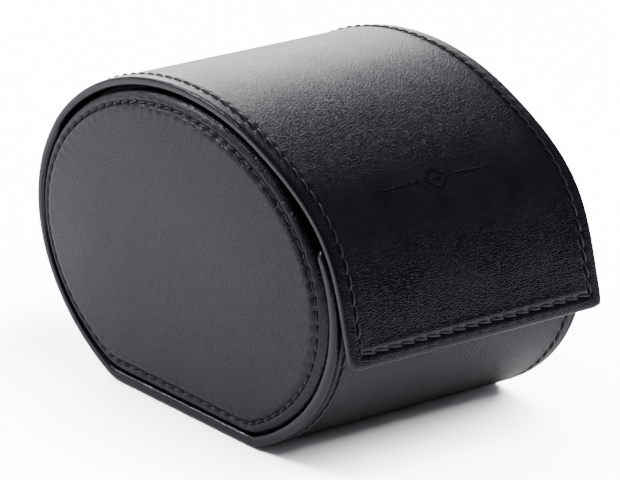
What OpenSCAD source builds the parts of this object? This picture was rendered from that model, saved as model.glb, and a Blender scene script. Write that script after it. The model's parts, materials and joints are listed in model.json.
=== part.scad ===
// Oval leather box for one wristwatch: base, living hinge, lid with a front flap, and a watch cushion.
// X runs along the hinge line, the front is -Y, and Z is up from the table.
// The origin is on the table, under the middle of the oval.

/* [Box] */
// Width between the two rims
box_w = 64; // [60:1:72]
// Depth of the oval, front to back
oval_depth = 105; // [100:1:112]
// Height of the whole oval, before its foot is cut flat
oval_height = 75; // [73:1:80]
// Height of the oval's middle above the table
mid_z = 33; // [31:0.5:34]

/* [Layers] */
// Thickness of the covering leather
leather_t = 0.7; // [0.5:0.1:0.9]
// Thickness of the board in the base
base_board_t = 1.3; // [1.1:0.1:1.5]
// Thickness of the suede lining in the base
base_lining_t = 0.5; // [0.3:0.1:0.6]
// Thickness of the board in the lid
lid_board_t = 0.8; // [0.7:0.1:0.9]
// Thickness of the suede lining in the lid
lid_lining_t = 0.4; // [0.3:0.1:0.5]

/* [Hinge and front wall] */
// Place of the hinge line, in degrees up the back of the oval
hinge_angle = 30; // [26:1:34]
// Width of bare leather between the two boards at the hinge
hinge_gap = 3; // [2:0.5:4]
// Height of the front wall's top edge
front_wall_z = 49; // [46:0.5:50]
// Leather turned in over the front wall's top edge
front_turn_in = 5; // [3:0.5:8]

/* [Lid and flap] */
// Place where the lid leaves the oval, in degrees over the top from the back
shoulder_angle = 120; // [116:1:124]
// How strongly the lid keeps the oval's direction into the shoulder
shoulder_pull = 24.4; // [23:0.2:26]
// How strongly the flap's direction reaches up into the shoulder
flap_pull = 12.7; // [11:0.1:14]
// Forward lean of the flap from upright, in degrees
flap_lean = 15.4; // [14:0.2:18]
// Length of the flap's straight part
flap_len = 10.5; // [8:0.5:12]
// How far forward the flap's tip stands
flap_tip_y = 58.3; // [58:0.1:60]
// Height of the flap's tip above the table
flap_tip_z = 26.4; // [24:0.2:28]
// Leather turned in round the lid's edges
lid_turn_in = 5; // [4:0.5:8]

/* [End panels] */
// Thickness of the board that closes each end
end_board_t = 1.2; // [1:0.1:1.5]
// Thickness of the card behind each padded panel
card_t = 0.6; // [0.4:0.1:0.8]
// Thickness of the foam pad at its edge
foam_edge_t = 0.2; // [0.1:0.1:0.4]
// Dark line between a padded panel and the wall round it
panel_gap = 0.3; // [0.2:0.1:0.5]
// Distance from a panel's edge in to its line of stitches
stitch_inset = 2.4; // [2:0.1:3]
// Depth of a panel's edge behind the rim
edge_recess = 0.5; // [0.3:0.1:0.6]
// Height of the stitches in front of the rim
stitch_stand = 0.9; // [0.7:0.1:1.1]
// Height of the panel's crown in front of the rim
crown_stand = 1.5; // [1.2:0.1:1.8]

/* [Catch] */
// Length of each magnet and of its steel plate
catch_w = 14; // [10:1:18]
// Height of each magnet and plate
catch_h = 5; // [4:0.5:6]
// Thickness of the magnets
magnet_t = 0.6; // [0.4:0.1:0.6]
// Thickness of the steel plates
plate_t = 0.9; // [0.6:0.1:0.9]
// Distance between the middles of the pair
catch_pitch = 34; // [28:1:40]
// Height of the plates above the table
catch_z = 43.4; // [42:0.2:44]
// Place of the magnets along the shoulder, from 0 at its top to 1 at the flap
magnet_place = 0.8; // [0.78:0.01:0.82]

/* [Cushion] */
// Width of the cushion
cushion_w = 50; // [46:1:54]
// Depth of the cushion
cushion_depth = 68; // [62:1:70]
// Height of the cushion
cushion_height = 46; // [42:1:48]
// Thickness of the cushion's suede
cover_t = 0.8; // [0.6:0.1:1]
// How much of the cushion's foot is flattened
cushion_flat = 1; // [0.5:0.1:1.5]
// Play between the cushion and the lining
cushion_play = 0.3; // [0.2:0.1:0.5]

/* [Hidden] */
half_d = oval_depth / 2;
half_h = oval_height / 2;
wall_t = leather_t + base_board_t + base_lining_t;
lid_t = leather_t + lid_board_t + lid_lining_t;
outline_step = 4;
panel_step = 6;
shoulder_steps = 14;
// Mean radius of the shoulder, which shortens the pulls on the inner layers
shoulder_r = 46;

// Faces of the end layers, from the middle of the box outwards
foam_x0 = box_w / 2 - edge_recess - leather_t - foam_edge_t;
card_x0 = foam_x0 - card_t;
board_x0 = card_x0 - end_board_t;
lining_x0 = board_x0 - base_lining_t;
base_turn_in = box_w / 2 - lining_x0;
// The leather is wrapped round the edges of the end's board and card
end_core_d = wall_t + panel_gap + leather_t;

// Angles along the oval, from level at the back, over the top to the front and under the foot
front_angle = 180 - asin((front_wall_z - mid_z) / half_h);
hinge_half = hinge_gap / 2 / norm([half_d * sin(hinge_angle), half_h * cos(hinge_angle)]) * 180 / PI;
base_end = 360 + hinge_angle - hinge_half;
lid_start = hinge_angle + hinge_half;
plate_angle = 180 - asin((catch_z - mid_z) / half_h);

flap_dir = [-sin(flap_lean), -cos(flap_lean)];
flap_in = [cos(flap_lean), -sin(flap_lean)];
flap_tip = [-flap_tip_y, flap_tip_z];

cushion_z = wall_t + cushion_play + cushion_height / 2 - cushion_flat;

// ---- outlines, as [y, z] points ----

// A point of the oval at angle t, on the layer that lies d inside the leather's face
function oval_point(t, d) = [(half_d - d) * cos(t), mid_z + (half_h - d) * sin(t)];

// Direction of the oval's layer at angle t
function oval_dir(t, d) =
    let (v = [-(half_d - d) * sin(t), (half_h - d) * cos(t)]) v / norm(v);

// Angle below level at which a layer meets the flat of the foot
function foot_angle(d) = asin((mid_z - d) / (half_h - d));

// Points of one layer between two angles, on a fixed grid of angles and at both ends
function arc(t0, t1, d, step = outline_step) = concat(
    [oval_point(t0, d)],
    [for (t = [ceil(t0 / step) * step : step : t1]) if (t > t0 + 0.2 && t < t1 - 0.2) oval_point(t, d)],
    [oval_point(t1, d)]
);

// From the front wall down, along the flat foot and up the back
function base_line(t0, t1, d) =
    concat(arc(t0, 180 + foot_angle(d), d), arc(360 - foot_angle(d), t1, d));

// A Bezier curve's point at u
function bezier(p, u) =
    pow(1 - u, 3) * p[0] + 3 * pow(1 - u, 2) * u * p[1] + 3 * (1 - u) * u * u * p[2] + pow(u, 3) * p[3];

// The shoulder: it leaves the oval and runs into the flap, with no corner at either end
function shoulder(u, d) =
    let (
        top = oval_point(shoulder_angle, d),
        low = flap_tip - flap_len * flap_dir + d * flap_in,
        scale = 1 - d / shoulder_r
    )
    bezier([
        top,
        top + shoulder_pull * scale * oval_dir(shoulder_angle, d),
        low - flap_pull * scale * flap_dir,
        low
    ], u);

// From the hinge over the top, round the shoulder and down to the flap's tip, less a margin
function lid_line(d, margin) = concat(
    arc(lid_start, shoulder_angle, d),
    [for (i = [1 : shoulder_steps]) shoulder(i / shoulder_steps, d)],
    [flap_tip + d * flap_in - margin * flap_dir]
);

function reverse(list) = [for (i = [len(list) - 1 : -1 : 0]) list[i]];

// ---- shapes ----

// An outline in the upright plane carried along the hinge line, from x0 to x1
module across(x0, x1) {
    rotate([90, 0, 90])
        translate([0, 0, x0])
            linear_extrude(x1 - x0)
                children();
}

// One layer of the base wall, between depths d0 and d1
module base_layer(d0, d1, x_half, t0) {
    across(-x_half, x_half)
        polygon(concat(base_line(t0, base_end, d0), reverse(base_line(t0, base_end, d1))));
}

// One layer of the lid, between depths d0 and d1
module lid_layer(d0, d1, x_half, margin) {
    across(-x_half, x_half)
        polygon(concat(lid_line(d0, margin), reverse(lid_line(d1, margin))));
}

// One layer of the flexible strip at the hinge
module hinge_layer(d0, d1) {
    across(-box_w / 2, box_w / 2)
        polygon(concat(
            arc(base_end - 360, lid_start, d0),
            reverse(arc(base_end - 360, lid_start, d1))
        ));
}

// A flat-footed oval plate, d inside the leather's face
module oval_plate(d, x0, x1, step = outline_step) {
    across(x0, x1)
        polygon(arc(-foot_angle(d), 180 + foot_angle(d), d, step));
}

// Right-hand shapes are drawn, and the left-hand ones are their mirror image
module on_side(side) {
    if (side < 0)
        mirror([1, 0, 0]) children();
    else
        children();
}

// A padded oval: an upright edge, a slope up to the stitches and a low crown
module padded_oval(x0, thinner) {
    d = wall_t + panel_gap + thinner;
    rim_x = box_w / 2 - thinner;
    hull() {
        oval_plate(d, x0, rim_x - edge_recess, panel_step);
        oval_plate(d + stitch_inset, x0, rim_x + stitch_stand, panel_step);
        oval_plate(d + 6 * stitch_inset, x0, rim_x + crown_stand, panel_step);
    }
}

// A thin bar at each side of the middle, lying along a layer
module bar_pair(place, dir, thickness) {
    for (side = [-1, 1])
        translate([side * catch_pitch / 2, place[0], place[1]])
            rotate([atan2(dir[1], dir[0]), 0, 0])
                cube([catch_w, catch_h, thickness], center = true);
}

// The cushion's outline, d inside its suede
module cushion_outline(d) {
    intersection() {
        polygon([
            for (t = [0 : outline_step : 359])
                [(cushion_depth / 2 - d) * cos(t), cushion_z + (cushion_height / 2 - d) * sin(t)]
        ]);
        translate([-cushion_depth, wall_t + cushion_play + d])
            square([2 * cushion_depth, 2 * cushion_height]);
    }
}

// ---- base ----

module catch_plates() {
    color("silver")
        bar_pair(
            oval_point(plate_angle, leather_t + base_board_t / 2),
            oval_dir(plate_angle, leather_t),
            plate_t
        );
}

module base_board_blank() {
    base_layer(leather_t, leather_t + base_board_t, box_w / 2 - leather_t, front_angle + 1);
}

module base_lining_blank() {
    base_layer(
        leather_t + base_board_t,
        wall_t,
        box_w / 2 - base_turn_in,
        front_angle + front_turn_in
    );
}

module base_board() {
    color("tan")
        difference() {
            base_board_blank();
            catch_plates();
        }
}

module base_lining() {
    color("dimgray") base_lining_blank();
}

module base_leather() {
    color("black")
        difference() {
            base_layer(0, wall_t, box_w / 2, front_angle);
            base_board_blank();
            base_lining_blank();
        }
}

module hinge_leather() {
    color("black") hinge_layer(0, leather_t);
}

module hinge_lining() {
    color("dimgray") hinge_layer(lid_t - lid_lining_t, lid_t);
}

// ---- ends ----

module end_board(side) {
    color("tan") on_side(side) oval_plate(end_core_d, board_x0, card_x0, panel_step);
}

module end_card(side) {
    color("beige") on_side(side) oval_plate(end_core_d, card_x0, foam_x0, panel_step);
}

module end_foam(side) {
    color("whitesmoke") on_side(side) padded_oval(foam_x0, leather_t);
}

module end_leather(side) {
    color("black")
        on_side(side)
            difference() {
                padded_oval(board_x0, 0);
                padded_oval(board_x0, leather_t);
            }
}

module end_lining(side) {
    color("dimgray") on_side(side) oval_plate(wall_t, lining_x0, board_x0);
}

// ---- lid ----

module lid_magnets() {
    color("gray")
        bar_pair(
            shoulder(magnet_place, leather_t + lid_board_t / 2),
            shoulder(magnet_place + 0.01, leather_t) - shoulder(magnet_place - 0.01, leather_t),
            magnet_t
        );
}

module lid_board_blank() {
    lid_layer(leather_t, leather_t + lid_board_t, box_w / 2 - leather_t, leather_t);
}

module lid_lining_blank() {
    lid_layer(leather_t + lid_board_t, lid_t, box_w / 2 - lid_turn_in, lid_turn_in);
}

module lid_board() {
    color("tan")
        difference() {
            lid_board_blank();
            lid_magnets();
        }
}

module lid_lining() {
    color("dimgray") lid_lining_blank();
}

module lid_leather() {
    color("black")
        difference() {
            lid_layer(0, lid_t, box_w / 2, 0);
            lid_board_blank();
            lid_lining_blank();
        }
}

// ---- cushion ----

module cushion_core() {
    color("whitesmoke")
        across(-cushion_w / 2 + cover_t, cushion_w / 2 - cover_t)
            cushion_outline(cover_t);
}

module cushion_cover() {
    color("dimgray")
        across(-cushion_w / 2, cushion_w / 2)
            difference() {
                cushion_outline(0);
                cushion_outline(cover_t);
            }
}

module cushion_cap(side) {
    color("dimgray")
        on_side(side)
            across(cushion_w / 2 - cover_t, cushion_w / 2)
                cushion_outline(cover_t);
}

base_leather();
base_board();
base_lining();
hinge_leather();
hinge_lining();
catch_plates();
end_board(-1);  // left_end_board
end_card(-1);  // left_end_card
end_foam(-1);  // left_end_foam
end_leather(-1);  // left_end_leather
end_lining(-1);  // left_end_lining
end_board(1);  // right_end_board
end_card(1);  // right_end_card
end_foam(1);  // right_end_foam
end_leather(1);  // right_end_leather
end_lining(1);  // right_end_lining
lid_leather();
lid_board();
lid_lining();
lid_magnets();
cushion_core();
cushion_cover();
cushion_cap(-1);  // cushion_left_cap
cushion_cap(1);  // cushion_right_cap
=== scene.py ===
# %% [markdown]
# # An oval leather watch box
# A box for one wristwatch: one wrap of black leather runs over boards from the top of the front wall, under
# the flat foot, up the back and over the top, and ends as a flap on the front. Padded ovals close its two
# ends, and a soft cushion for the watch stands inside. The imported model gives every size, place and joint;
# this lesson gives the looks.

# %% Load the frame
import json
import math

import bmesh
import bpy
import numpy as np
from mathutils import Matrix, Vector


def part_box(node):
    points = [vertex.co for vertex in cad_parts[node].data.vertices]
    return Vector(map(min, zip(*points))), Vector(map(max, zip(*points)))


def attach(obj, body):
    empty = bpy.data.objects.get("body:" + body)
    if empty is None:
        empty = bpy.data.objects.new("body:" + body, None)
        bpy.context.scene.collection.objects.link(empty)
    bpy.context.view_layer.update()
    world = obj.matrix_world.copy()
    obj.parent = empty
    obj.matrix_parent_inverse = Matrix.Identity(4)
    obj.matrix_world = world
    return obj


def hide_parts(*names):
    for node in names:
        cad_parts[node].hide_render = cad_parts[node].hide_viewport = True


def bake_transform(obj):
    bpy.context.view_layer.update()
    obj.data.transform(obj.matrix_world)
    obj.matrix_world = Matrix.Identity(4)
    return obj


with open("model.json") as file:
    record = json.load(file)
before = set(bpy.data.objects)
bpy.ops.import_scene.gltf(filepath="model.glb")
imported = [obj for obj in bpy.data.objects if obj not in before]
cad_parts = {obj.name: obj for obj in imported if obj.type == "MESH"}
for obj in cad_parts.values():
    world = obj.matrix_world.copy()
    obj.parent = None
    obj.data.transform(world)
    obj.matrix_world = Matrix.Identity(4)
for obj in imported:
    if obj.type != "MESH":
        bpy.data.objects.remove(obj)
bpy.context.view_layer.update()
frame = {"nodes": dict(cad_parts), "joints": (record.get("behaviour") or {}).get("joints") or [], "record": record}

# %% [markdown]
# ## The camera
# Small leather goods are shown with a long lens from a little above, so that the oval isn't distorted. The
# camera is placed by azimuth, elevation and distance round an aim point near the middle of the box.

# %% Camera
MM = 0.001
AIM = np.array([-0.9, -3.1, 32.2]) * MM
AZIMUTH, ELEVATION = math.radians(-36.98), math.radians(19.05)
DISTANCE = 900 * MM


def direction(azimuth, elevation):
    """A unit vector from the object: azimuth 0 is the front (-Y) and turns towards +X; elevation is above
    level."""
    level = math.cos(elevation)
    return np.array([math.sin(azimuth) * level, -math.cos(azimuth) * level, math.sin(elevation)])


def aim(thing, place, target):
    """Puts a camera or a lamp at a place and turns its -Z axis towards a target."""
    thing.location = place
    thing.rotation_mode = "QUATERNION"
    thing.rotation_quaternion = Vector(target - place).to_track_quat("-Z", "Y")


camera = bpy.data.objects.new("camera", bpy.data.cameras.new("camera"))
camera.data.lens = 252
camera.data.sensor_width = 36
camera.data.clip_start, camera.data.clip_end = 0.05, 50
aim(camera, AIM + DISTANCE * direction(AZIMUTH, ELEVATION), AIM)
bpy.context.collection.objects.link(camera)
bpy.context.scene.camera = camera
print("camera stands", round(DISTANCE, 2), "m away with a", camera.data.lens, "mm lens")

# %% [markdown]
# ## Sizes taken from the frame
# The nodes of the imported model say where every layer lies. Only the height of the oval's middle and its
# half height can't be read from a box, because the foot is cut flat, so those two are stated.

# %% Sizes in millimetres
def corner(node, high):
    """The lowest (0) or highest (1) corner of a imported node, in millimetres."""
    return np.array(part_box(node)[high]) / MM


HALF_WIDTH = corner("base_leather", 1)[0]
HALF_DEPTH = corner("base_leather", 1)[1]
MID_Z, HALF_HEIGHT = 33.0, 37.5
FRONT_TOP = 49.0
FLAP_TIP = np.array([corner("lid_leather", 0)[1], 26.4])
FLAP_LEAN, FLAP_LENGTH = math.radians(15.4), 10.5
SHOULDER = math.radians(120)
SHOULDER_PULL, FLAP_PULL = 24.4, 12.7
HINGE = np.array(next(j for j in frame["joints"] if j["name"] == "lid_hinge")["pos_m"][1:]) / MM
BASE_WALL, LID_WALL, LEATHER = 2.5, 1.9, 0.6
SEAM_INSET, STITCH = 3.0, 3.2
print("half width", HALF_WIDTH, "half depth", HALF_DEPTH, "hinge line at", HINGE.round(2))

# %% [markdown]
# ## The outline as one curve
# The wrap is a single sheet, so everything on it is placed by two numbers: how far along the sheet a point
# lies, and how deep under the outer face. The outline is an oval cut flat at the foot, a Bezier curve round
# the shoulder, and the straight flap. It is sampled densely once, softened where the foot's corners would
# be sharp, and measured by its own length, so that seams and folds can be spaced in true millimetres.

# %% The outline
def oval(t, d=0.0):
    """Point [y, z] at angle t of the ellipse d millimetres inside the outer one: middle plus half axes
    times cos, sin."""
    return np.stack([(HALF_DEPTH - d) * np.cos(t), MID_Z + (HALF_HEIGHT - d) * np.sin(t)], -1)


def bezier(a, b, c, d, u):
    """Cubic Bezier curve: the four points weighted by the Bernstein polynomials of u."""
    u = u[:, None]
    return (1 - u) ** 3 * a + 3 * (1 - u) ** 2 * u * b + 3 * (1 - u) * u**2 * c + u**3 * d


def by_length(points, closed=False, soften=1.1):
    """Resamples a polyline every 0.1 mm of its own length, after a Gaussian blur `soften` mm wide rounds
    its corners."""
    if closed:
        points = np.vstack([points, points[:1]])
    length = np.r_[0, np.cumsum(np.linalg.norm(np.diff(points, axis=0), axis=1))]
    s = np.arange(0, length[-1], 0.1)
    even = np.stack([np.interp(s, length, points[:, k]) for k in range(2)], -1)
    reach = int(soften * 30)
    kernel = np.exp(-0.5 * (np.arange(-reach, reach + 1) / (soften * 10)) ** 2)
    kernel /= kernel.sum()
    if closed:
        wide = np.vstack([even[-reach:], even, even[:reach]])
    else:
        before = 2 * even[0] - even[reach:0:-1]
        after = 2 * even[-1] - even[-2 : -reach - 2 : -1]
        wide = np.vstack([before, even, after])
    return np.stack([np.convolve(wide[:, k], kernel, "valid") for k in range(2)], -1)


class Curve:
    """A plane curve measured by its length s, with its outward normal: place(s, d) is the point d under
    its face."""

    def __init__(self, points, closed=False):
        self.closed = closed
        if closed:
            tangent = np.gradient(np.vstack([points[-3:], points, points[:3]]), axis=0)[3:-3]
        else:
            tangent = np.gradient(points, axis=0)
        step = np.linalg.norm(np.diff(points, axis=0, append=points[:1]), axis=1)
        self.s = np.r_[0, np.cumsum(step)][: len(points)]
        self.length = self.s[-1] + (step[-1] if closed else 0)
        tangent /= np.linalg.norm(tangent, axis=1)[:, None]
        self.table = np.hstack([points, tangent])

    def look(self, s):
        """The point and the unit tangent at length s, each [..., 2]."""
        s = np.asarray(s, float)
        period = self.length if self.closed else None
        found = np.stack([np.interp(s, self.s, self.table[:, k], period=period) for k in range(4)], -1)
        return found[..., :2], found[..., 2:]

    def place(self, s, d):
        """The point at length s, moved d inwards against the outward normal (tangent z, minus tangent
        y)."""
        point, tangent = self.look(s)
        normal = np.stack([tangent[..., 1], -tangent[..., 0]], -1)
        return point - np.asarray(d, float)[..., None] * normal


foot = math.asin(MID_Z / HALF_HEIGHT)
front = math.pi - math.asin((FRONT_TOP - MID_Z) / HALF_HEIGHT)
flap_run = np.array([-math.sin(FLAP_LEAN), -math.cos(FLAP_LEAN)])
flap_top = FLAP_TIP - FLAP_LENGTH * flap_run
shoulder_top = oval(np.array(SHOULDER))
shoulder_run = np.array([-HALF_DEPTH * math.sin(SHOULDER), HALF_HEIGHT * math.cos(SHOULDER)])
shoulder_run /= np.linalg.norm(shoulder_run)
wrap_points = np.vstack([
    oval(np.linspace(front, math.pi + foot, 300)),
    oval(np.linspace(2 * math.pi - foot, 2 * math.pi + SHOULDER, 600)),
    bezier(
        shoulder_top, shoulder_top + SHOULDER_PULL * shoulder_run,
        flap_top - FLAP_PULL * flap_run, flap_top,
        np.linspace(0, 1, 200)[1:],
    ),
    FLAP_TIP[None],
])
WRAP = Curve(by_length(wrap_points))
HINGE_AT = WRAP.s[np.argmin(np.linalg.norm(WRAP.table[:, :2] - HINGE, axis=1))]
HINGE_REACH = 2.2
print("the wrap is", round(WRAP.length, 1), "mm long; its hinge lies at", round(HINGE_AT, 1), "mm")

# %% [markdown]
# ## Turning arrays into meshes
# Each surface below is an array of points in millimetres and an array of quads that index them. One helper
# writes them into a mesh in metres, smooth-shaded. Where two corners of a quad are the same point, it
# becomes a triangle.

# %% Mesh helpers
def make_piece(name, points, faces, attributes=None):
    """A new object from points in mm and lists of corner indices; repeated corners of a face are
    dropped."""
    mesh = bpy.data.meshes.new(name)
    polygons = [tuple(dict.fromkeys(f)) for f in np.asarray(faces).tolist()]
    mesh.from_pydata(np.asarray(points, float) * MM, [], [p for p in polygons if len(p) > 2])
    for key, values in (attributes or {}).items():
        mesh.attributes.new(key, "FLOAT", "POINT").data.foreach_set("value", values.astype(np.float32))
    mesh.polygons.foreach_set("use_smooth", np.ones(len(mesh.polygons), bool))
    mesh.validate()
    piece = bpy.data.objects.new(name, mesh)
    bpy.context.collection.objects.link(piece)
    print(f"{name}: {len(mesh.vertices)} points, {len(mesh.polygons)} faces")
    return piece


def quads(index, flip=False):
    """Quads between neighbouring entries of a 2D index array: down the rows first, then across the
    columns."""
    a, b, c, d = index[:-1, :-1], index[1:, :-1], index[1:, 1:], index[:-1, 1:]
    order = (a, d, c, b) if flip else (a, b, c, d)
    return np.stack(order, -1).reshape(-1, 4)


def thicken(piece, thickness):
    """Gives an open sheet its thickness, inwards from the face that shows. Its open edges are marked
    sharp, so that the shading of the cut rim doesn't run on to the face."""
    mesh = piece.data
    corners = np.empty(len(mesh.loops), int)
    mesh.loops.foreach_get("edge_index", corners)
    used = np.bincount(corners, minlength=len(mesh.edges))
    mesh.edges.foreach_set("use_edge_sharp", used == 1)
    solid = piece.modifiers.new("thickness", "SOLIDIFY")
    solid.thickness = thickness * MM
    solid.offset = -1
    return piece


def smoothstep(x):
    """0 below 0, 1 above 1, and 3x^2 - 2x^3 between."""
    x = np.clip(x, 0, 1)
    return x * x * (3 - 2 * x)


# %% [markdown]
# ## How a sewn leather edge is shaped
# The leather is turned round the edge of the board and sewn 3 mm in. Seen across the edge it is flat, dips
# into the stitch groove, rolls round the edge in a squarish curve, and comes back on the inner side. Every
# stitch pulls a small pit where the thread goes down, and the leather swells a little between the groove
# and the edge.

# %% Edge profile and stitch pits
EDGE_REACH = SEAM_INSET + 0.75 * STITCH
SEAM_ROWS = [0, 0.5, 1.0, 1.4, 1.75, 2.0, 2.2, 2.4, 2.6, 2.8, 3.05, 3.4, 3.8, 4.15]


def edge_profile(wall, turn_in):
    """Rows (inset, depth) from the open face, over the edge and back inside. The roll is a superellipse:
    |cos|^(2/2.8) and |sin|^(2/2.8) in place of cos and sin make a rounder square."""
    wall = np.asarray(wall, float)[..., None]
    half = wall / 2
    flat = EDGE_REACH - np.array(SEAM_ROWS)
    flat = np.broadcast_to(flat, wall.shape[:-1] + flat.shape)
    phi = np.radians(np.linspace(90, -90, 15))
    roll_in = half * (1 - np.abs(np.cos(phi)) ** (2 / 2.8))
    roll_deep = half * (1 - np.sign(np.sin(phi)) * np.abs(np.sin(phi)) ** (2 / 2.8))
    back = half + (turn_in - half) * np.array([0.15, 0.4, 0.7, 1.0])
    inset = np.concatenate([flat, roll_in, back], -1)
    depth = np.concatenate([flat * 0, roll_deep, back * 0 + wall], -1)
    return inset, depth


def seam_relief(offset, phase):
    """Height of the leather near a seam: a groove, a pit at each whole phase, and a soft swell on both
    sides."""
    groove = -0.10 * np.exp(-((offset / 0.5) ** 2))
    pits = -0.17 * np.exp(-((offset / 0.42) ** 2)) * np.cos(np.pi * phase) ** 8
    swell = 0.06 * np.exp(-(((np.abs(offset) - 1.15) / 0.55) ** 2)) * (1 - 0.5 * np.cos(2 * np.pi * phase))
    return groove + pits + swell


side_count = round((WRAP.length - 2 * SEAM_INSET) / STITCH)
SIDE_STITCH = (WRAP.length - 2 * SEAM_INSET) / side_count
hem_count = round(2 * (HALF_WIDTH - SEAM_INSET) / STITCH)
HEM_STITCH = 2 * (HALF_WIDTH - SEAM_INSET) / hem_count
print("each side seam has", side_count, "stitches and each hem", hem_count)

# %% [markdown]
# ## The ornament on the shoulder
# The lid carries a small pressed ornament: a plain lozenge between two tapering bars. A brass die presses
# it into damp leather, so it is part of the surface, about a fifth of a millimetre deep with a soft lip.

# %% Pressed ornament
ORNAMENT_AT = WRAP.s[np.argmin(np.linalg.norm(WRAP.table[:, :2] - np.array([-43.6, 56.0]), axis=1))]
ORNAMENT_HALF = 14.5


def ornament_relief(x, s):
    """Depth of the pressed ornament: the die's shape is where any of its three distances is below zero."""
    q = s - ORNAMENT_AT
    diamond = np.abs(x) / 3.4 + np.abs(q) / 2.7
    ring = np.abs(diamond - 0.86) * 3.0 - 0.46
    heart = diamond * 3.0 - 0.95
    taper = 0.72 * np.clip((ORNAMENT_HALF - 1.0 - np.abs(x)) / 8.5, 0, 1) ** 0.6
    bar = np.maximum.reduce([np.abs(q) - taper, 4.6 - np.abs(x), np.abs(x) - ORNAMENT_HALF + 1.2]) + 0.05
    nearest = np.minimum(np.minimum(ring, heart), bar)
    lip = 0.07 * np.exp(-(((nearest - 0.28) / 0.2) ** 2))
    return lip - 0.36 * (1 - smoothstep((nearest + 0.14) / 0.36))


def spaced(first, last, fine, step, fine_step):
    """Positions from first to last, `step` apart, and `fine_step` apart where fine(position) is true."""
    found = [first]
    while last - found[-1] > 1e-6:
        found.append(found[-1] + (fine_step if fine(found[-1] + 1e-6) else step))
    found = np.array(found)
    found = found[found < last - 0.3 * step]
    return np.r_[found, last]


# %% [markdown]
# ## The wrap
# One function builds a sheet with turned edges on three sides: a grid for its open face, and rows of points
# that run round the two sides and the tip, first flat, then over the edge, then back inside. The fourth
# side is cut at the hinge, where the next piece carries on. The base's part starts at the front wall's top
# edge and the lid's ends at the flap's tip, so both use it, one the other way round.

# %% A sheet with turned edges
CORNER_POINTS = 7


def turned_sheet(name, cut, tip, wall, turn_in, fine_x=None, fine_s=None, relief=None, polish=0.0):
    """Grid over the open face, and U-shaped rows round it at each (inset, depth) of the edge profile.
    Round the two corners a row follows |u|^9 + |v|^9 = r^9, a square with slightly rounded corners.
    `polish` is how smooth the leather has been rubbed past the ornament, where a hand takes hold of the
    flap."""
    way = 1 if tip > cut else -1
    span = abs(tip - cut)
    never = lambda position: False
    from_tip = spaced(EDGE_REACH, span, fine_s or never, SIDE_STITCH / 4, SIDE_STITCH / 12)
    rows = tip - way * from_tip[::-1]
    half_open = HALF_WIDTH - EDGE_REACH
    columns = spaced(-half_open, half_open, fine_x or never, HEM_STITCH / 4, HEM_STITCH / 12)
    columns = (columns - columns[::-1]) / 2
    n, m = len(rows), len(columns)
    inset, depth = edge_profile(wall, turn_in)
    radius = EDGE_REACH - inset[:, None]
    angle = np.radians(np.linspace(0, 90, CORNER_POINTS + 2)[1:-1])[None]
    square = (np.cos(angle) ** 9 + np.sin(angle) ** 9) ** (1 / 9)
    side_x = np.repeat(HALF_WIDTH - inset[:, None], n, 1)
    side_s = np.repeat(rows[None], len(inset), 0)
    corner_x = half_open + radius * np.cos(angle) / square
    corner_s = rows[-1] + way * radius * np.sin(angle) / square
    tip_s = np.repeat(tip - way * inset[:, None], m, 1)
    tip_x = np.repeat(columns[None], len(inset), 0)
    x = np.hstack([-side_x, -corner_x, tip_x, corner_x[:, ::-1], side_x[:, ::-1]])
    s = np.hstack([side_s, corner_s, tip_s, corner_s[:, ::-1], side_s[:, ::-1]])
    d = np.repeat(depth[:, None], x.shape[1], 1)
    e = np.repeat(inset[:, None], x.shape[1], 1)
    phase = np.hstack([
        (side_s - SEAM_INSET) / SIDE_STITCH,
        corner_x * 0,
        (tip_x + HALF_WIDTH - SEAM_INSET) / HEM_STITCH,
        corner_x * 0,
        (side_s[:, ::-1] - SEAM_INSET) / SIDE_STITCH,
    ])
    grid = np.arange(n * m).reshape(n, m)
    edge_index = np.vstack([
        np.r_[
            grid[:, 0], [grid[-1, 0]] * CORNER_POINTS, grid[-1],
            [grid[-1, -1]] * CORNER_POINTS, grid[::-1, -1],
        ],
        n * m + np.arange(x[1:].size).reshape(x[1:].shape),
    ])
    faces = np.vstack([quads(grid, way < 0), quads(edge_index, way < 0)])
    grid_s, grid_x = np.meshgrid(rows, columns, indexing="ij")
    open_face = (d[1:] < 1e-6) | ((e[1:] < 1.2) & (d[1:] < 0.1))
    lift = np.r_[np.zeros(n * m), np.where(open_face, seam_relief(e[1:] - SEAM_INSET, phase[1:]), 0).ravel()]
    all_x, all_s = np.r_[grid_x.ravel(), x[1:].ravel()], np.r_[grid_s.ravel(), s[1:].ravel()]
    all_d = np.r_[np.zeros(n * m), d[1:].ravel()]
    pressed = relief(all_x, all_s) * (all_d < 1e-6) if relief else np.zeros(len(all_x))
    lift += pressed
    yz = WRAP.place(all_s, all_d - lift)
    edge = np.r_[np.zeros(n * m), np.exp(-((e[1:] / 1.0) ** 2)).ravel()]
    edge = np.maximum(edge, np.clip(-pressed / 0.2, 0, 1))
    edge = np.maximum(edge, polish * smoothstep((all_s - ORNAMENT_AT - 5) / 16))
    return make_piece(name, np.column_stack([all_x, yz]), faces, {"edge": edge})


base_wrap = turned_sheet("base_wrap", HINGE_AT - HINGE_REACH, 0.0, BASE_WALL, 5.0)
lid_wrap = turned_sheet(
    "lid_wrap", HINGE_AT + HINGE_REACH, WRAP.length, LID_WALL, 5.0,
    fine_x=lambda x: abs(x) < ORNAMENT_HALF,
    fine_s=lambda from_tip: abs(WRAP.length - from_tip - ORNAMENT_AT) < 4.5,
    relief=ornament_relief,
    polish=0.9,
)
thicken(base_wrap, LEATHER)
thicken(lid_wrap, LEATHER)
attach(base_wrap, "base")
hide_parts("base_leather")
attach(lid_wrap, "lid")
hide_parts("lid_leather")

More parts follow.
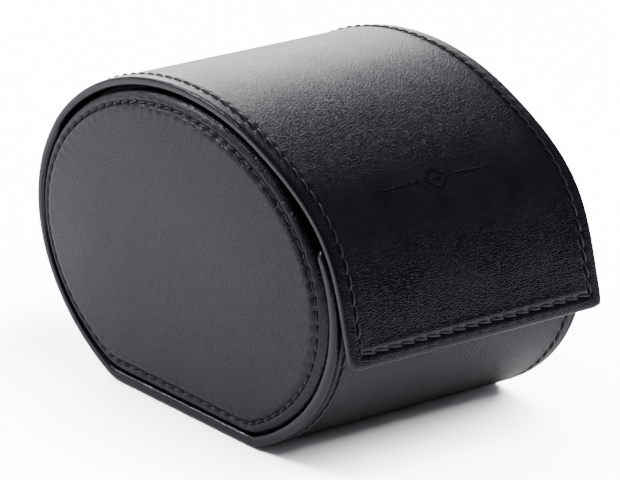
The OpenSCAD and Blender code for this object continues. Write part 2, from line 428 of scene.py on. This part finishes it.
# %% [markdown]
# ## The living hinge
# Between the two boards the wrap is bare leather, and it bends there. This short strip has the same edge as its
# neighbours and meets them exactly, and its wall thins from the base's to the lid's.

# %% Hinge leather
def wall_at(s):
    """Wall thickness along the wrap: the base's, easing to the lid's across the hinge."""
    share = smoothstep((np.asarray(s, float) - HINGE_AT + HINGE_REACH) / (2 * HINGE_REACH))
    return BASE_WALL + (LID_WALL - BASE_WALL) * share


def across_hinge(piece):
    """Bakes the piece's placing into its mesh, and leaves it tied to neither the base nor the lid."""
    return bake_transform(piece)


def hinge_leather():
    """A grid whose rows run along the wrap and whose columns run from the left turned edge to the right
    one."""
    rows = np.linspace(HINGE_AT - HINGE_REACH, HINGE_AT + HINGE_REACH, 23)
    inset, depth = edge_profile(wall_at(rows), 5.0)
    middle = np.linspace(-1, 1, 14)[1:-1] * (HALF_WIDTH - EDGE_REACH)
    middle = np.repeat(middle[None], len(rows), 0)
    x = np.hstack([(inset - HALF_WIDTH)[:, ::-1], middle, HALF_WIDTH - inset])
    d = np.hstack([depth[:, ::-1], middle * 0, depth])
    e = np.hstack([inset[:, ::-1], middle * 0 + EDGE_REACH, inset])
    s = np.repeat(rows[:, None], x.shape[1], 1)
    lift = seam_relief(e - SEAM_INSET, (s - SEAM_INSET) / SIDE_STITCH) * ((d < 0.1) & (e > 0.4))
    yz = WRAP.place(s, d - lift)
    faces = quads(np.arange(x.size).reshape(x.shape))
    points = np.column_stack([x.ravel(), yz.reshape(-1, 2)])
    return make_piece("hinge_strip", points, faces, {"edge": np.exp(-((e / 1.0) ** 2)).ravel()})


hinge_strip = thicken(hinge_leather(), LEATHER)
across_hinge(hinge_strip)
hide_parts("hinge_leather")

# %% [markdown]
# ## Sewing thread
# A seam is a row of short humps of waxed thread: each comes up out of its pit, lies a little aslant on the
# leather and goes down into the next pit. One function sweeps a six-sided ring along every hump of a seam
# at once.

# %% Stitches
THREAD = 0.25
ALONG = np.array([-0.5, -0.42, -0.26, 0.0, 0.26, 0.42, 0.5])


def stitches(name, centre, normal, lateral, slant=0.24):
    """Tubes for M stitches with K rings each. `centre` [M, K, 3] runs on the leather; a hump lifts each
    ring by cos(pi u)^0.6 and the ends dive into the pits; `slant` pushes the two ends to opposite
    sides."""
    hump = 0.56 * np.cos(np.pi * ALONG * 0.96) ** 0.7 - 0.34
    radius = THREAD * (0.72 + 0.28 * np.cos(np.pi * ALONG))
    spine = centre + normal * hump[:, None] + lateral * (slant * 2 * ALONG)[:, None]
    turn = np.linspace(0, 2 * np.pi, 6, endpoint=False)
    ring = normal[:, :, None] * np.cos(turn)[:, None] + lateral[:, :, None] * np.sin(turn)[:, None]
    points = spine[:, :, None] + ring * radius[:, None, None]
    count = len(centre)
    index = np.arange(points[..., 0].size).reshape(count, len(ALONG), 6)
    index = np.concatenate([index, index[:, :, :1]], 2)
    a, b, c, d = index[:, :-1, :-1], index[:, 1:, :-1], index[:, 1:, 1:], index[:, :-1, 1:]
    tubes = np.stack([a, b, c, d], -1).reshape(-1, 4)
    piece = make_piece(name, points.reshape(-1, 3), tubes)
    return close_holes(piece)


def close_holes(piece):
    """Caps every open end and turns all faces outwards."""
    work = bmesh.new()
    work.from_mesh(piece.data)
    bmesh.ops.holes_fill(work, edges=[e for e in work.edges if e.is_boundary], sides=0)
    bmesh.ops.recalc_face_normals(work, faces=work.faces)
    work.to_mesh(piece.data)
    work.free()
    piece.data.polygons.foreach_set("use_smooth", np.ones(len(piece.data.polygons), bool))
    return piece


def frame_on_wrap(x, s):
    """Centre, outward normal and tangent (all [..., 3]) on the wrap's face at (x, s)."""
    point, tangent = WRAP.look(s)
    zero = np.zeros(point.shape[:-1])
    x = np.broadcast_to(x, zero.shape)
    centre = np.stack([x, point[..., 0], point[..., 1]], -1)
    normal = np.stack([zero, tangent[..., 1], -tangent[..., 0]], -1)
    along = np.stack([zero, tangent[..., 0], tangent[..., 1]], -1)
    return centre, normal, along


def side_seam(name, keep):
    """Stitches down both sides of the wrap whose middles satisfy keep(s). Under the foot they lie pressed
    into their groove, 0.44 mm deeper, so that the box stands on its leather."""
    middles = SEAM_INSET + SIDE_STITCH * (np.arange(side_count) + 0.5)
    middles = middles[keep(middles)]
    s = middles[:, None] + ALONG * SIDE_STITCH
    sides = [frame_on_wrap(side * (HALF_WIDTH - SEAM_INSET), s) for side in (-1, 1)]
    centre, normal = (np.concatenate([a[k] for a in sides]) for k in (0, 1))
    centre -= normal * (0.44 * smoothstep((-normal[..., 2:] - 0.7) / 0.25))
    lateral = np.zeros_like(normal)
    lateral[..., 0] = np.repeat([-1.0, 1.0], len(middles))[:, None]
    return stitches(name, centre, normal, lateral)


def hem_seam(name, s):
    """Stitches across the wrap at length s."""
    x = HEM_STITCH * (np.arange(hem_count) + 0.5)[:, None] - HALF_WIDTH + SEAM_INSET + ALONG * HEM_STITCH
    centre, normal, along = frame_on_wrap(x, np.full_like(x, s))
    return stitches(name, centre, normal, along)


FOLD = HINGE_REACH + SIDE_STITCH / 2
threads = {
    "base": [
        side_seam("base_side_thread", lambda s: s < HINGE_AT - FOLD),
        hem_seam("front_wall_thread", SEAM_INSET),
    ],
    "lid": [
        side_seam("lid_side_thread", lambda s: s > HINGE_AT + FOLD),
        hem_seam("flap_hem_thread", WRAP.length - SEAM_INSET),
    ],
}
for body, seams in threads.items():
    for seam in seams:
        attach(seam, body)
hinge_thread = across_hinge(side_seam("hinge_thread", lambda s: abs(s - HINGE_AT) <= FOLD))
THREAD_PIECES = [*threads["base"], *threads["lid"], hinge_thread]
# %% [markdown]
# ## Padded end panels
# Each end is closed by a board with a card, a thin foam pad and leather pulled over all of them. The
# leather is sewn down 2.4 mm in from its edge, which leaves a soft rounded margin outside the seam and a
# low crown inside it, and each stitch gathers the leather into small puckers on both sides. Rings of points
# follow the edge inwards for 3.6 mm, less than its tightest corner radius, and from there they shrink
# towards the middle, so that no two rings can cross.

# %% Panel surface
PANEL_INSET = 2.8
PANEL_SEAM = 2.4
RIM_X = HALF_WIDTH
BACK_X = corner("right_end_leather", 0)[0]
panel_foot = math.asin((MID_Z - PANEL_INSET) / (HALF_HEIGHT - PANEL_INSET))
panel_points = oval(np.linspace(-panel_foot, math.pi + panel_foot, 900), PANEL_INSET)
PANEL = Curve(by_length(panel_points, closed=True, soften=2.1), closed=True)
panel_count = round((PANEL.length - 2 * math.pi * PANEL_SEAM) / 3.05)
PANEL_STITCH = PANEL.length / panel_count
PANEL_MIDDLE = np.array([0.0, MID_Z + 0.8])
LAST_OFFSET = 3.6
PANEL_DEPTH = HALF_HEIGHT - PANEL_INSET - LAST_OFFSET
print("each end panel's seam has", panel_count, "stitches")


def panel_height(inset):
    """How far the panel stands out in X: a rounded edge, a soft margin, the seam's groove and a low
    crown."""
    edge = RIM_X - 1.15 + 0.95 * np.sqrt(1 - np.clip(1 - inset / 0.95, 0, 1) ** 2)
    margin = 0.85 * smoothstep(inset / 2.1)
    crown = 1.1 * (1 - (1 - np.clip((inset - PANEL_SEAM) / 20, 0, 1)) ** 2.2)
    groove = -0.46 * np.exp(-(((inset - PANEL_SEAM) / 0.62) ** 2))
    return edge + margin + 0.30 * smoothstep((inset - PANEL_SEAM) / 1.8) + crown + groove


def puckers(inset, turn):
    """Gathers round the seam: a wave with one crest between every two stitches, strongest just beside the
    groove and gone 3 mm in; its strength wanders a little along the seam."""
    q = inset - PANEL_SEAM
    reach = np.where(q > 0, np.exp(-q / 1.1), np.exp(q / 0.8)) * (1 - np.exp(-((q / 0.5) ** 2)))
    wander = 1 + 0.35 * np.sin(5 * turn + 0.7) + 0.25 * np.sin(13 * turn + 2.1)
    wave = 0.5 - 0.5 * np.cos(turn * panel_count)
    pits = np.exp(-((q / 0.45) ** 2)) * np.cos(turn * panel_count / 2) ** 8
    return 0.27 * reach * wander * wave - 0.30 * pits


def end_panel(name, side, thinner=0.0, per_stitch=8, detail=1.0):
    """Rings round the oval from the back of the edge to the middle, where they meet in one point."""
    count = panel_count * per_stitch
    turn = np.linspace(0, 2 * np.pi, count, endpoint=False)
    u = turn / (2 * np.pi) * PANEL.length
    rise = np.r_[0.0, 0.06, 0.16, 0.3, 0.46, 0.64, 0.82, 1.0]
    rise = np.r_[rise, np.linspace(1.2, LAST_OFFSET, 15)]
    shrink = np.geomspace(0.008, 0.95, 26)
    inset = np.r_[rise, LAST_OFFSET + shrink * PANEL_DEPTH]
    rings = [PANEL.place(u, np.full(count, e + thinner)) for e in rise]
    inner = rings[-1] - PANEL_MIDDLE
    rings += [PANEL_MIDDLE + inner * (1 - share) for share in shrink]
    heights = [panel_height(e) + detail * puckers(e, turn) - thinner for e in inset]
    back = PANEL.place(u, np.full(count, thinner))
    rings, heights = [back, *rings], [np.full(count, BACK_X), *heights]
    yz = np.concatenate([*rings, [PANEL_MIDDLE]])
    x = np.r_[np.concatenate(heights), heights[-1][0]]
    index = np.arange(len(rings) * count).reshape(len(rings), count)
    index = np.vstack([index, np.full(count, index.size)])
    index = np.hstack([index, index[:, :1]])
    sign = 1 if side == "right" else -1
    ring_inset = np.r_[0.0, inset]
    edge = np.r_[np.repeat(0.55 * np.exp(-((ring_inset / 0.8) ** 2)), count), 0]
    return make_piece(name, np.column_stack([sign * x, yz]), quads(index, sign > 0), {"edge": edge})


def panel_thread(name, side):
    """The stitches of one end panel's seam, lying in its groove."""
    sign = 1 if side == "right" else -1
    u = (np.arange(panel_count)[:, None] + 0.5 + ALONG) * PANEL_STITCH
    yz = PANEL.place(u, np.full(u.shape, PANEL_SEAM))
    _, tangent = PANEL.look(u)
    flat = np.zeros(u.shape)
    centre = np.concatenate([(sign * (panel_height(PANEL_SEAM) + 0.02 + flat))[..., None], yz], -1)
    normal = np.stack([flat + sign, flat, flat], -1)
    lateral = np.stack([flat, tangent[..., 1], -tangent[..., 0]], -1)
    return stitches(name, centre, normal, lateral, slant=0.2)


end_panels = []
for side in ("left", "right"):
    panel = thicken(end_panel(f"{side}_end_panel", side), LEATHER)
    pad = end_panel(f"{side}_end_pad", side, thinner=0.75, per_stitch=2, detail=0.0)
    thread = panel_thread(f"{side}_end_thread", side)
    for piece in (panel, pad, thread):
        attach(piece, "base")
    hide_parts(f"{side}_end_leather")
    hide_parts(f"{side}_end_foam")
    end_panels.append(panel)
    THREAD_PIECES.append(thread)
END_PADS = [bpy.data.objects[f"{side}_end_pad"] for side in ("left", "right")]
# %% [markdown]
# ## Suede lining
# The inside is lined with thin suede, glued over the turned-in leather. It follows the same curve as the wrap, on
# its inner side, and the strip that crosses the hinge eases from the base's width to the lid's.

# %% Lining
LINING_STAND = 0.12


def lining(name, first, last, half_first, half_last, rows):
    """A sheet just inside the wall from length first to last, whose half width eases from one value to the
    other."""
    s = np.linspace(first, last, rows)
    half = half_first + (half_last - half_first) * smoothstep((s - first) / (last - first))
    x = half[:, None] * np.linspace(-1, 1, 25)
    s = np.repeat(s[:, None], x.shape[1], 1)
    yz = WRAP.place(s, wall_at(s) + LINING_STAND)
    index = np.arange(x.size).reshape(x.shape)
    piece = make_piece(name, np.column_stack([x.ravel(), yz.reshape(-1, 2)]), quads(index, True))
    return thicken(piece, 0.4)


BASE_LINING_HALF = corner("right_end_lining", 0)[0] - 0.1
LID_LINING_HALF = corner("lid_lining", 1)[0] + 0.6
base_lining = lining("base_suede", 4.6, HINGE_AT - HINGE_REACH, BASE_LINING_HALF, BASE_LINING_HALF, 150)
lid_lining = lining(
    "lid_suede", HINGE_AT + HINGE_REACH, WRAP.length - 4.6, LID_LINING_HALF, LID_LINING_HALF, 120
)
hinge_lining = lining(
    "hinge_suede", HINGE_AT - HINGE_REACH, HINGE_AT + HINGE_REACH, BASE_LINING_HALF, LID_LINING_HALF, 19
)
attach(base_lining, "base")
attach(lid_lining, "lid")
across_hinge(hinge_lining)
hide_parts("base_lining")
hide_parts("lid_lining")
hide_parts("hinge_lining")
# %% [markdown]
# ## The watch cushion
# A watch is buckled round a foam cushion in a suede cover: a sleeve with a sewn-in oval at each end. Air
# pressure in a cloth simulation swells the cover between its two seams, which are held still, and gives it
# the slack look of real suede. The simulation runs at ten times the size, because cloth settings are made
# for larger things.

# %% Cushion shape
CUSHION = [corner("cushion_cover", k) for k in (0, 1)]
CUSHION_HALF = (CUSHION[1] - CUSHION[0]) / 2
CUSHION_MIDDLE = (CUSHION[1] + CUSHION[0]) / 2
CUSHION_SEAM = CUSHION_HALF[0] - 1.4
BIG = 10
MOST_MOVE = 1.6


def cushion_blank():
    """A closed drum: rings of an oval with a slightly flat foot, from one end's middle out, along and back
    in. A ring's radius share is 1 along the sleeve and falls to 0 over the domed ends."""
    turn = np.linspace(0, 2 * np.pi, 120, endpoint=False)
    along = np.linspace(-CUSHION_SEAM, CUSHION_SEAM, 37)
    share = np.linspace(0.97, 0.08, 9)
    dome = CUSHION_SEAM + 0.9 * (1 - share**2) + 0.1
    x = np.r_[-dome[::-1], along, dome]
    scale = np.r_[share[::-1], along * 0 + 1, share]
    y = (CUSHION_HALF[1] - 0.9) * np.cos(turn)
    z = (CUSHION_HALF[2] - 0.4) * np.sin(turn)
    z = np.maximum(z, -CUSHION_HALF[2] + 1.2)
    ring = np.stack([np.zeros_like(y), y, z], -1)
    points = ring[None] * scale[:, None, None] + np.array([1.0, 0, 0]) * x[:, None, None]
    index = np.arange(points[..., 0].size).reshape(len(x), len(turn))
    caps = np.array([[-dome[-1], 0, 0], [dome[-1], 0, 0]])
    index = np.vstack([np.full(len(turn), index.size), index, np.full(len(turn), index.size + 1)])
    index = np.hstack([index, index[:, :1]])
    return np.vstack([points.reshape(-1, 3), caps]), quads(index, True)


def swell(piece, frames=20):
    """Blows the cover up from inside with its two seams pinned, and returns its points before and after, at true
    size.
    """
    piece.data.transform(((BIG, 0, 0, 0), (0, BIG, 0, 0), (0, 0, BIG, 0), (0, 0, 0, 1)))
    count = len(piece.data.vertices)
    before = np.empty(count * 3)
    piece.data.vertices.foreach_get("co", before)
    near = np.abs(np.abs(before[::3]) - CUSHION_SEAM * MM * BIG) < 0.4 * MM * BIG
    pins = piece.vertex_groups.new(name="seams")
    pins.add(np.flatnonzero(near).tolist(), 1.0, "REPLACE")
    cloth = piece.modifiers.new("cover", "CLOTH")
    cloth.settings.quality = 6
    cloth.settings.use_pressure = True
    cloth.settings.uniform_pressure_force = 4
    cloth.settings.effector_weights.gravity = 0
    cloth.settings.vertex_group_mass = "seams"
    cloth.settings.tension_stiffness = 30
    cloth.settings.bending_stiffness = 2
    cloth.point_cache.frame_end = frames
    scene = bpy.context.scene
    for frame_number in range(1, frames + 1):
        scene.frame_set(frame_number)
    shaped = piece.evaluated_get(bpy.context.evaluated_depsgraph_get())
    after = np.empty(count * 3)
    shaped.data.vertices.foreach_get("co", after)
    piece.modifiers.clear()
    piece.vertex_groups.clear()
    scene.frame_set(1)
    return before.reshape(-1, 3) / BIG, after.reshape(-1, 3) / BIG


def cushion_cover():
    """The swollen cover, moved no more than 1.6 mm, with a pinched seam round each end, set down on its
    foot."""
    points, faces = cushion_blank()
    piece = make_piece("cushion_suede", points, faces)
    before, after = points * MM, points * MM
    before, after = swell(piece)
    move = after - before
    size = np.linalg.norm(move, axis=1)[:, None]
    move *= np.minimum(1, MOST_MOVE * MM / np.maximum(size, 1e-9))
    shaped = (before + move) / MM
    pinch = np.exp(-(((np.abs(points[:, 0]) - CUSHION_SEAM) / 0.7) ** 2))
    shaped[:, 1:] *= (1 - 0.022 * pinch)[:, None]
    shaped += CUSHION_MIDDLE
    shaped[:, 2] = np.maximum(shaped[:, 2], CUSHION[0][2])
    piece.data.vertices.foreach_set("co", (shaped * MM).astype(np.float32).ravel())
    piece.data.update()
    smooth = piece.modifiers.new("smooth", "SUBSURF")
    smooth.levels = smooth.render_levels = 1
    print("the cover moved up to", round(float(size.max()) / MM, 2), "mm")
    return piece


cushion = cushion_cover()
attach(cushion, "cushion")
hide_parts("cushion_cover", "cushion_left_cap", "cushion_right_cap")


def cushion_piping(name, side):
    """A thin rolled cord sewn into one end's seam: a round section carried round the oval."""
    turn = np.linspace(0, 2 * np.pi, 160, endpoint=False)
    ring = np.stack([CUSHION_HALF[1] * np.cos(turn), CUSHION_HALF[2] * np.sin(turn)], -1) * 0.972
    ring[:, 1] = np.maximum(ring[:, 1], -CUSHION_HALF[2] + 0.75)
    out = ring / np.linalg.norm(ring, axis=1)[:, None]
    round_turn = np.linspace(0, 2 * np.pi, 10, endpoint=False)
    x = side * CUSHION_SEAM + 0.7 * np.sin(round_turn)[None] + 0 * turn[:, None]
    yz = ring[:, None] + 0.7 * np.cos(round_turn)[None, :, None] * out[:, None]
    points = np.concatenate([x[..., None], yz], -1) + CUSHION_MIDDLE
    index = np.arange(x.size).reshape(x.shape)
    index = np.vstack([index, index[:1]])
    index = np.hstack([index, index[:, :1]])
    return make_piece(name, points.reshape(-1, 3), quads(index, True))


def cushion_filling():
    """The foam block: the cover's first shape, 7 % smaller all round, so that the slack cover never
    touches it."""
    points, faces = cushion_blank()
    points = points * np.array([0.95, 0.93, 0.93]) + CUSHION_MIDDLE
    return make_piece("cushion_foam", points, faces)


cushion_foam = cushion_filling()
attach(cushion_foam, "cushion")
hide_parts("cushion_core")
PIPING = [cushion_piping("cushion_left_piping", -1), cushion_piping("cushion_right_piping", 1)]
for piece in PIPING:
    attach(piece, "cushion")
# %% [markdown]
# ## Materials
# Every finish is made from nodes. A small helper adds a node, sets its plain values and joins its inputs,
# so that each material below reads as a recipe. Numbers that are the same all over a surface are set on the
# shader's own sockets.

# %% A helper for node recipes
class Recipe:
    """A material and a short way to add nodes to it."""

    def __init__(self, name):
        self.material = bpy.data.materials.new(name)
        self.material.use_nodes = True
        self.tree = self.material.node_tree
        self.shader = self.tree.nodes["Principled BSDF"]
        self.coords = self.add("ShaderNodeTexCoord").outputs["Object"]

    def add(self, kind, inputs=None, **settings):
        """Adds a node; an input is a value, or an output of another node to join to it."""
        node = self.tree.nodes.new(kind)
        for key, value in settings.items():
            setattr(node, key, value)
        self.join(node, inputs or {})
        return node

    def join(self, node, inputs):
        """Sets or joins inputs of a node by name or by number."""
        for key, value in inputs.items():
            if isinstance(value, bpy.types.NodeSocket):
                self.tree.links.new(value, node.inputs[key])
            else:
                node.inputs[key].default_value = value

    def noise(self, scale, detail=3.0, coords=None, **more):
        """Smooth random values round 0.5 whose blotches are about 1/scale metres across."""
        inputs = {"Vector": coords or self.coords, "Scale": scale, "Detail": detail, **more}
        return self.add("ShaderNodeTexNoise", inputs).outputs["Fac"]

    def stretch(self, factors):
        """The coordinates scaled by a different factor along X, Y and Z."""
        return self.add("ShaderNodeMapping", {"Vector": self.coords, "Scale": factors}).outputs["Vector"]

    def range(self, value, low, high, to_low, to_high):
        """Maps low..high to to_low..to_high, clamped."""
        inputs = {"Value": value, "From Min": low, "From Max": high, "To Min": to_low, "To Max": to_high}
        return self.add("ShaderNodeMapRange", inputs).outputs["Result"]

    def maths(self, operation, a, b=0.0):
        """One step of arithmetic."""
        return self.add("ShaderNodeMath", {0: a, 1: b}, operation=operation).outputs[0]

    def colours(self, value, stops):
        """A colour ramp through (place, (r, g, b)) stops."""
        ramp = self.add("ShaderNodeValToRGB", {"Fac": value})
        elements = ramp.color_ramp.elements
        for element, (place, colour) in zip(elements, stops):
            element.position, element.color = place, (*colour, 1)
        for place, colour in stops[2:]:
            elements.new(place).color = (*colour, 1)
        return ramp.outputs["Color"]

    def bump(self, layers):
        """Bump nodes in a chain, one for each (height, distance in mm, strength)."""
        normal = None
        for height, distance, strength in layers:
            inputs = {"Height": height, "Distance": distance * MM, "Strength": strength}
            if normal is not None:
                inputs["Normal"] = normal
            normal = self.add("ShaderNodeBump", inputs).outputs["Normal"]
        return normal

    def finish(self, inputs):
        """Sets the shader's sockets and returns the material."""
        self.join(self.shader, inputs)
        return self.material


# %% Black leather
def black_leather(name="black_leather"):
    """Calf leather: small pebbles with fine creases between them, a little tone, and polish on the turned
    edges."""
    r = Recipe(name)
    drawn = r.stretch((0.62, 1.0, 1.0))
    drift = r.add("ShaderNodeTexNoise", {"Vector": drawn, "Scale": 900.0, "Detail": 2.0}).outputs["Color"]
    shifted = r.add(
        "ShaderNodeMixRGB", {"Fac": 0.0004, "Color1": drawn, "Color2": drift}, blend_type="ADD"
    ).outputs["Color"]
    pebble = r.add(
        "ShaderNodeTexVoronoi", {"Vector": shifted, "Scale": 2300.0}, feature="SMOOTH_F1"
    ).outputs["Distance"]
    crease = r.add(
        "ShaderNodeTexVoronoi", {"Vector": shifted, "Scale": 1950.0}, feature="DISTANCE_TO_EDGE"
    ).outputs["Distance"]
    crease = r.range(crease, 0.0, 0.22, 0.0, 1.0)
    fine = r.noise(5200.0, 2.0, drawn)
    soft = r.noise(120.0, 3.0)
    edge = r.add("ShaderNodeAttribute", attribute_name="edge").outputs["Fac"]
    calm = r.range(edge, 0.0, 1.0, 1.0, 0.25)
    crease = r.maths("MULTIPLY", crease, calm)
    pebble = r.maths("MULTIPLY", pebble, calm)
    rough = r.maths("ADD", r.range(fine, 0.3, 0.7, 0.31, 0.41), r.range(soft, 0.3, 0.7, -0.03, 0.03))
    rough = r.maths("SUBTRACT", rough, r.maths("MULTIPLY", edge, 0.20))
    return r.finish({
        "Base Color": r.colours(soft, [(0.3, (0.0045, 0.0043, 0.0064)), (0.7, (0.0075, 0.0072, 0.0102))]),
        "Roughness": rough,
        "Specular IOR Level": 0.5,
        "Specular Tint": (0.82, 0.79, 1.0, 1.0),
        "Coat Weight": 0.12,
        "Coat Roughness": 0.28,
        "Normal": r.bump([(crease, 0.064, 0.9), (pebble, 0.062, 0.7), (fine, 0.012, 0.4)]),
    })


# %% Suede, thread, foam and board
def suede():
    """Grey suede: a short nap that lies in soft patches, with a pale sheen at grazing angles."""
    r = Recipe("grey_suede")
    patch = r.noise(140.0, 4.0)
    nap = r.noise(4200.0, 2.0)
    tone = r.maths("ADD", r.maths("MULTIPLY", patch, 0.8), r.maths("MULTIPLY", nap, 0.2))
    return r.finish({
        "Base Color": r.colours(tone, [(0.3, (0.118, 0.115, 0.112)), (0.7, (0.150, 0.146, 0.142))]),
        "Roughness": 0.93,
        "Specular IOR Level": 0.2,
        "Sheen Weight": 0.25,
        "Sheen Roughness": 0.45,
        "Sheen Tint": (0.75, 0.73, 0.70, 1.0),
        "Normal": r.bump([(nap, 0.05, 0.7), (patch, 0.12, 0.35)]),
    })


def thread_finish():
    """Waxed black thread: fine twisted strands and a soft gleam."""
    r = Recipe("black_thread")
    strands = r.add(
        "ShaderNodeTexWave", {"Vector": r.coords, "Scale": 900.0, "Distortion": 0.6},
        bands_direction="DIAGONAL",
    ).outputs["Fac"]
    fuzz = r.noise(6000.0, 2.0)
    return r.finish({
        "Base Color": r.colours(fuzz, [(0.3, (0.014, 0.014, 0.016)), (0.7, (0.040, 0.040, 0.045))]),
        "Roughness": r.range(fuzz, 0.3, 0.7, 0.22, 0.42),
        "Normal": r.bump([(strands, 0.05, 0.6)]),
    })


def foam_finish():
    """Cream upholstery foam: open cells and a dull surface."""
    r = Recipe("cream_foam")
    cells = r.add("ShaderNodeTexVoronoi", {"Vector": r.coords, "Scale": 1700.0}).outputs["Distance"]
    return r.finish({
        "Base Color": r.colours(cells, [(0.0, (0.42, 0.39, 0.31)), (0.6, (0.78, 0.75, 0.66))]),
        "Roughness": 0.95,
        "Normal": r.bump([(cells, 0.25, 0.8)]),
    })


def board_finish(name, dark, light, fleck_scale):
    """Pressed fibre board or card: flecks stretched along the sheet."""
    r = Recipe(name)
    fibres = r.noise(fleck_scale, 5.0, r.stretch((1.0, 0.35, 0.35)))
    return r.finish({
        "Base Color": r.colours(fibres, [(0.35, dark), (0.65, light)]),
        "Roughness": r.range(fibres, 0.3, 0.7, 0.78, 0.9),
        "Normal": r.bump([(fibres, 0.04, 0.5)]),
    })


def metal_finish(name, tone, rough, brush):
    """Plated steel: fine brush marks along X."""
    r = Recipe(name)
    marks = r.noise(2500.0, 3.0, r.stretch((brush, 1.0, 1.0)))
    return r.finish({
        "Base Color": r.colours(marks, [(0.3, tuple(0.85 * c for c in tone)), (0.7, tone)]),
        "Metallic": 1.0,
        "Roughness": r.range(marks, 0.3, 0.7, rough, rough + 0.12),
        "Normal": r.bump([(marks, 0.01, 0.5)]),
    })


# %% Put the finishes on
FINISHES = {
    "black_leather": (black_leather(), "black_leather", [base_wrap, lid_wrap, hinge_strip, *end_panels]),
    "grey_suede": (suede(), "grey_suede", [base_lining, lid_lining, hinge_lining, cushion, *PIPING]),
    "black_thread": (thread_finish(), "black_leather", THREAD_PIECES),
    "foam": (foam_finish(), "foam", [*END_PADS, cushion_foam]),
    "board": (board_finish("grey_board", (0.30, 0.25, 0.19), (0.47, 0.41, 0.32), 700.0), "board", []),
    "card": (board_finish("white_card", (0.60, 0.57, 0.50), (0.76, 0.73, 0.67), 1500.0), "card", []),
    "magnet": (metal_finish("nickel_plate", (0.62, 0.60, 0.56), 0.2, 0.4), "magnet", []),
    "steel_plate": (metal_finish("zinc_plate", (0.55, 0.56, 0.58), 0.32, 0.05), "steel_plate", []),
}
for finish, slot, made in FINISHES.values():
    for piece in made:
        piece.data.materials.clear()
        piece.data.materials.append(finish)
for row in frame["record"]["subparts"]:
    node = frame["nodes"][row["node"]]
    node.data.materials.clear()
    node.data.materials.append(FINISHES[row["material_slot"]][0])
# %% [markdown]
# ## Floor and light
# Black leather shows only what it reflects. A pale floor fills the end panel and the lower front with soft
# grey, a large lamp low behind draws the sheen along the top, and the side behind the viewer stays dark, so
# that the flap and the shoulder fall to black, as in a plain product picture. A small high lamp puts thin
# lines on the turned edges. The last two lamps have no reflection of their own and light the floor in front
# and at the left, and the floor is given more light for the eye than for the box, as a floor lit on its own
# would have: that keeps it white.

# %% Floor
FLOOR_GAIN = 9.0
FLOOR_Z = -0.1 * MM


def make_floor():
    """A round pale sheet, 12 m across and flat, with a soft matt finish."""
    angles = np.linspace(0, 2 * np.pi, 64, endpoint=False)
    rings = [0.0, 0.2, 0.6, 1.5, 3.0, 6.0]
    points = np.vstack([
        np.column_stack([r * np.cos(angles), r * np.sin(angles), angles * 0 + FLOOR_Z]) for r in rings
    ]) / MM
    index = np.arange(len(rings) * 64).reshape(len(rings), 64)
    index = np.hstack([index, index[:, :1]])
    floor = make_piece("floor", points, quads(index))
    r = Recipe("pale_floor")
    mottle = r.noise(3.0)
    floor.data.materials.append(r.finish({
        "Base Color": r.colours(mottle, [(0.3, (0.90, 0.90, 0.90)), (0.7, (0.93, 0.93, 0.93))]),
        "Roughness": 0.9,
        "Specular IOR Level": 0.1,
    }))
    bright = r.add("ShaderNodeBsdfDiffuse", {"Color": (FLOOR_GAIN, FLOOR_GAIN, FLOOR_GAIN, 1.0)})
    seen = r.add("ShaderNodeLightPath").outputs["Is Camera Ray"]
    both = r.add("ShaderNodeMixShader", {0: seen, 1: r.shader.outputs[0], 2: bright.outputs[0]})
    r.tree.links.new(both.outputs[0], r.tree.nodes["Material Output"].inputs["Surface"])
    return floor


make_floor()


# %% Lamps and surroundings
def lamp(name, azimuth, elevation, distance, size, power):
    """A square soft lamp that looks at the box."""
    light = bpy.data.lights.new(name, "AREA")
    light.energy, light.size = power, size
    thing = bpy.data.objects.new(name, light)
    place = AIM + distance * direction(math.radians(azimuth), math.radians(elevation))
    aim(thing, place, AIM)
    bpy.context.collection.objects.link(thing)
    return thing


lamp("back_lamp", 155, 16, 1.6, 0.9, 15)
lamp("rim_lamp", 212, 35, 1.5, 0.22, 7)
floor_lamps = [lamp("front_floor_lamp", 35, 60, 1.6, 1.2, 36), lamp("left_floor_lamp", 225, 55, 1.6, 1.0, 10)]
for floor_lamp in floor_lamps:
    floor_lamp.visible_glossy = False

world = bpy.data.worlds.new("surroundings")
bpy.context.scene.world = world
world.use_nodes = True
sky = world.node_tree
toward = sky.nodes.new("ShaderNodeTexCoord").outputs["Generated"]
side = sky.nodes.new("ShaderNodeVectorMath")
side.operation = "DOT_PRODUCT"
side.inputs[1].default_value = (0.18, 0.87, -0.46)
sky.links.new(toward, side.inputs[0])
fall = sky.nodes.new("ShaderNodeMapRange")
fall.interpolation_type = "SMOOTHSTEP"
for key, value in {"From Min": -0.1, "From Max": 0.85, "To Min": 0.01, "To Max": 0.8}.items():
    fall.inputs[key].default_value = value
sky.links.new(side.outputs["Value"], fall.inputs["Value"])
seen = sky.nodes.new("ShaderNodeLightPath").outputs["Is Camera Ray"]
level = sky.nodes.new("ShaderNodeMix")
level.inputs["B"].default_value = 9.0
sky.links.new(seen, level.inputs["Factor"])
sky.links.new(fall.outputs["Result"], level.inputs["A"])
sky.links.new(level.outputs["Result"], sky.nodes["Background"].inputs["Strength"])
sky.nodes["Background"].inputs["Color"].default_value = (1.0, 1.0, 1.0, 1.0)
print("four soft lamps and a pale surround")
